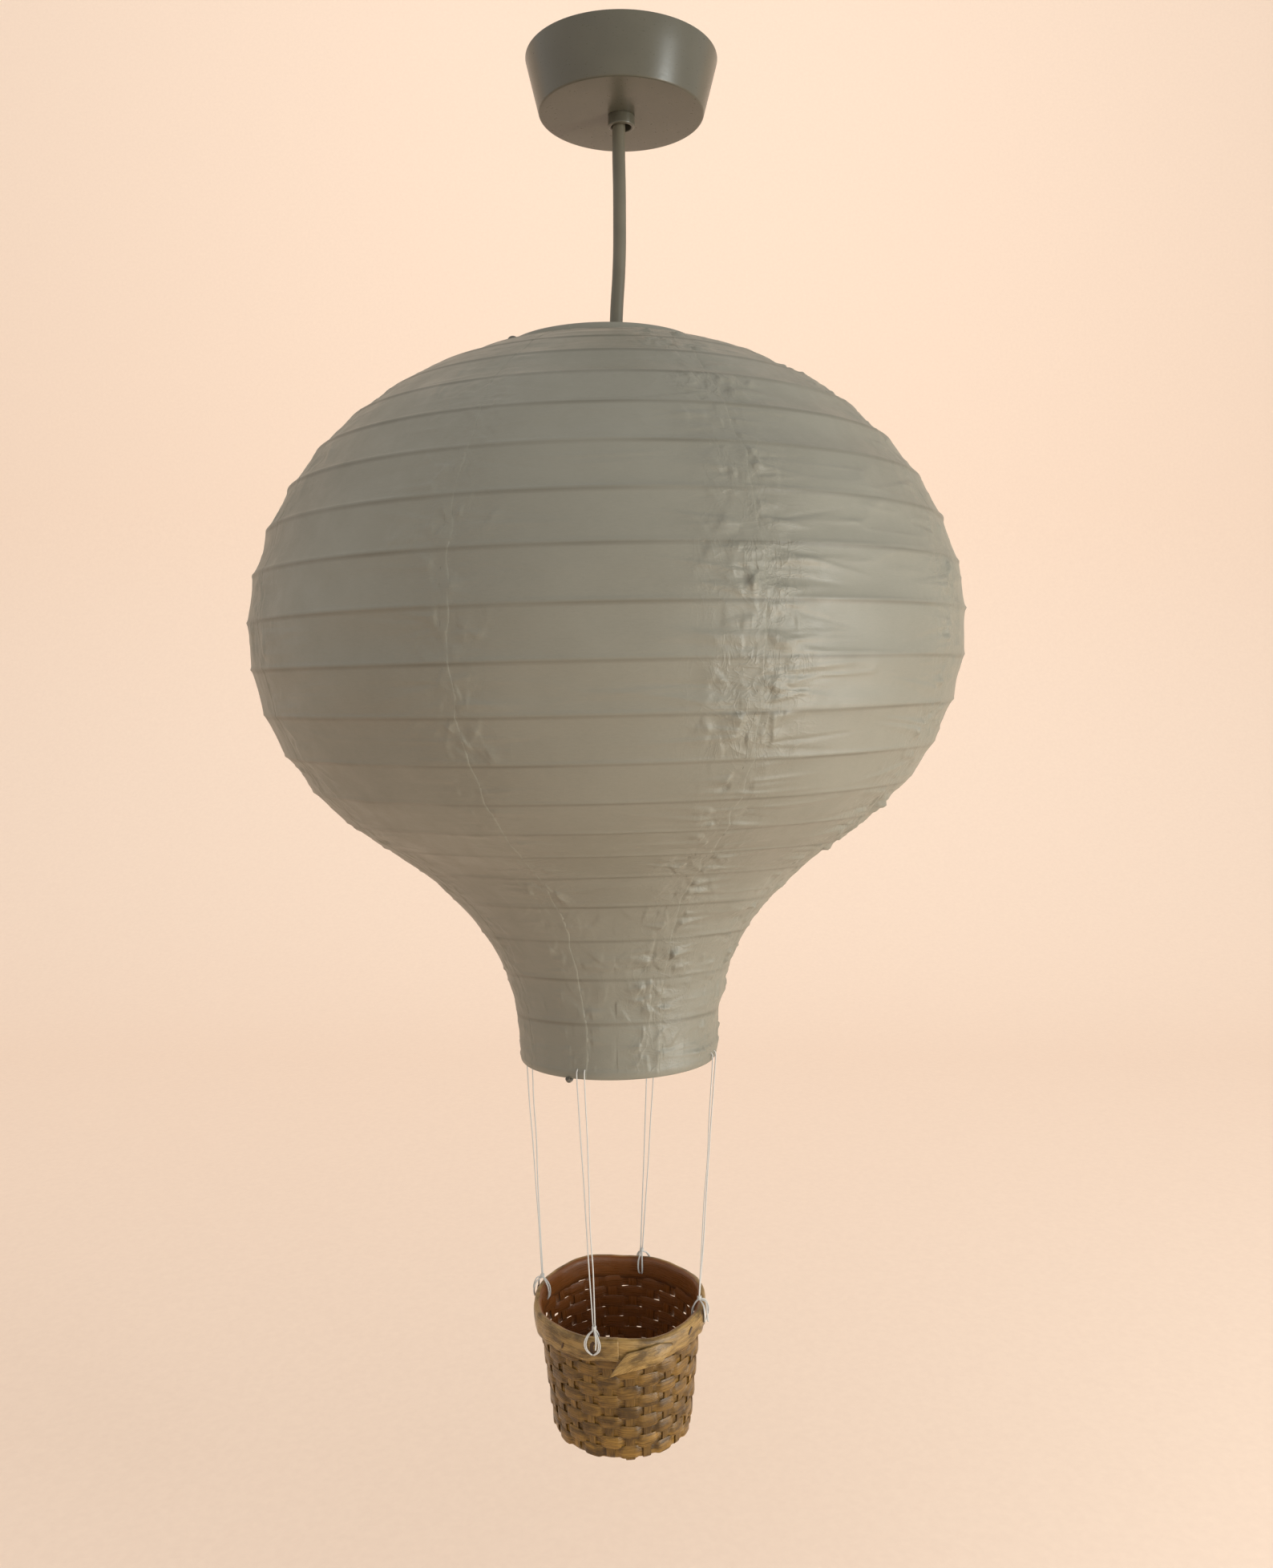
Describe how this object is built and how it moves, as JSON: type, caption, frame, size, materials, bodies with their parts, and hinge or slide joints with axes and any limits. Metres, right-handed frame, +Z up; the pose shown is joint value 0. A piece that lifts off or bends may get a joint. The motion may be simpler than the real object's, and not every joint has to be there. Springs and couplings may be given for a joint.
{
  "type": "paper lantern",
  "caption": "Balloon-shaped ribbed paper pendant lantern on a cord with a ceiling rose, and a small woven basket hung under it on threads.",
  "frame": {"origin": "centre of the ceiling bracket's top face, on the ceiling plane", "axes": "+Z up out of the bracket into the ceiling, the lantern hangs along -Z, the picture looks along +Y with +X to its right"},
  "size_m": [0.3998, 0.3998, 0.786],
  "materials": {
    "zinc_steel": "satin",
    "white_plastic": "satin",
    "rose_plastic": "gloss",
    "cord_sheath": "satin",
    "core_sheath": "satin",
    "thermoset": "gloss",
    "brass": "satin",
    "bulb_shell": "satin",
    "painted_wire": "satin",
    "rice_paper": "matte",
    "cotton_thread": "matte",
    "bamboo": "satin"
  },
  "bodies": {
    "ceiling_mount": {"bracket_plate": "zinc_steel", "bracket_stirrup": "zinc_steel", "terminal_block": "white_plastic", "terminal_screws": "zinc_steel", "core_wires": "core_sheath"},
    "rose": {"rose_cover": "rose_plastic", "cord_grip": "rose_plastic", "grip_nut": "rose_plastic"},
    "cord_end": {"cord_anchor": "white_plastic", "anchor_screws": "zinc_steel", "cord_upper": "cord_sheath"},
    "pendant": {"cord_lower": "cord_sheath", "holder_cap": "rose_plastic", "holder_grip_screw": "white_plastic", "holder_body": "rose_plastic", "contact_insert": "thermoset", "centre_contact": "brass", "screw_shell": "brass"},
    "ring_nut": {"shade_ring": "rose_plastic"},
    "bulb": {"bulb_cap": "zinc_steel", "bulb_tip": "brass", "bulb_base": "bulb_shell", "bulb_globe": "bulb_shell"},
    "shade": {"spreader_carrier": "painted_wire", "spreader_leg_left": "painted_wire", "spreader_leg_right": "painted_wire", "top_ring": "painted_wire", "bottom_ring": "painted_wire", "crown_ribs": "painted_wire", "belly_ribs": "painted_wire", "neck_ribs": "painted_wire", "paper_gore_1": "rice_paper", "paper_gore_2": "rice_paper", "paper_gore_3": "rice_paper", "paper_gore_4": "rice_paper", "paper_gore_5": "rice_paper", "paper_gore_6": "rice_paper", "paper_gore_7": "rice_paper", "paper_gore_8": "rice_paper", "paper_gore_9": "rice_paper"},
    "string_front": {"string_front": "cotton_thread"},
    "string_right": {"string_right": "cotton_thread"},
    "string_back": {"string_back": "cotton_thread"},
    "string_left": {"string_left": "cotton_thread"},
    "basket": {"basket_base": "bamboo", "basket_stakes": "bamboo", "weaver_1": "bamboo", "weaver_2": "bamboo", "weaver_3": "bamboo", "weaver_4": "bamboo", "weaver_5": "bamboo", "weaver_6": "bamboo", "weaver_7": "bamboo", "weaver_8": "bamboo", "weaver_9": "bamboo", "weaver_10": "bamboo", "rim_outer": "bamboo", "rim_inner": "bamboo", "rim_lashing": "bamboo", "rim_ties": "cotton_thread"}
  },
  "joints": [
    {"name": "rose_slide", "type": "slide", "parent": "ceiling_mount", "child": "rose", "axis": [0, 0, -1], "range_m": [0, 0.055]},
    {"name": "cord_twist", "type": "hinge", "parent": "ceiling_mount", "child": "cord_end", "pos_m": [0, 0, -0.02], "axis": [0, 0, 1], "range_deg": [-180, 180], "stiffness_Nm_per_rad": 0.002},
    {"name": "lamp_swing", "type": "hinge", "parent": "cord_end", "child": "pendant", "pos_m": [-0.001, 0, -0.1], "axis": [0, 1, 0], "range_deg": [-20, 20]},
    {"name": "ring_loosen", "type": "slide", "parent": "pendant", "child": "ring_nut", "axis": [0, 0, -1], "range_m": [0, 0.015]},
    {"name": "bulb_out", "type": "slide", "parent": "pendant", "child": "bulb", "axis": [0, 0, -1], "range_m": [0, 0.03]},
    {"name": "shade_turn", "type": "hinge", "parent": "pendant", "child": "shade", "pos_m": [-0.003, 0, -0.182], "axis": [0, 0, 1], "continuous": true},
    {"name": "string_front_swing", "type": "hinge", "parent": "shade", "child": "string_front", "pos_m": [-0.02181, -0.05168, -0.5744], "axis": [0, 1, 0], "range_deg": [-15, 15]},
    {"name": "string_right_swing", "type": "hinge", "parent": "shade", "child": "string_right", "pos_m": [0.04868, -0.01881, -0.5744], "axis": [0, 1, 0], "range_deg": [-15, 15]},
    {"name": "string_back_swing", "type": "hinge", "parent": "shade", "child": "string_back", "pos_m": [0.01581, 0.05168, -0.5744], "axis": [0, 1, 0], "range_deg": [-15, 15]},
    {"name": "string_left_swing", "type": "hinge", "parent": "shade", "child": "string_left", "pos_m": [-0.05468, 0.01881, -0.5744], "axis": [0, 1, 0], "range_deg": [-15, 15]},
    {"name": "basket_level", "type": "hinge", "parent": "string_front", "child": "basket", "pos_m": [-0.01623, -0.04614, -0.7096], "axis": [0, 1, 0], "range_deg": [-18, 18]}
  ],
  "couplings": [
    {"joint": "string_right_swing", "follows": "string_front_swing", "ratio": 1},
    {"joint": "string_back_swing", "follows": "string_front_swing", "ratio": 1},
    {"joint": "string_left_swing", "follows": "string_front_swing", "ratio": 1},
    {"joint": "basket_level", "follows": "string_front_swing", "ratio": -1.145}
  ]
}
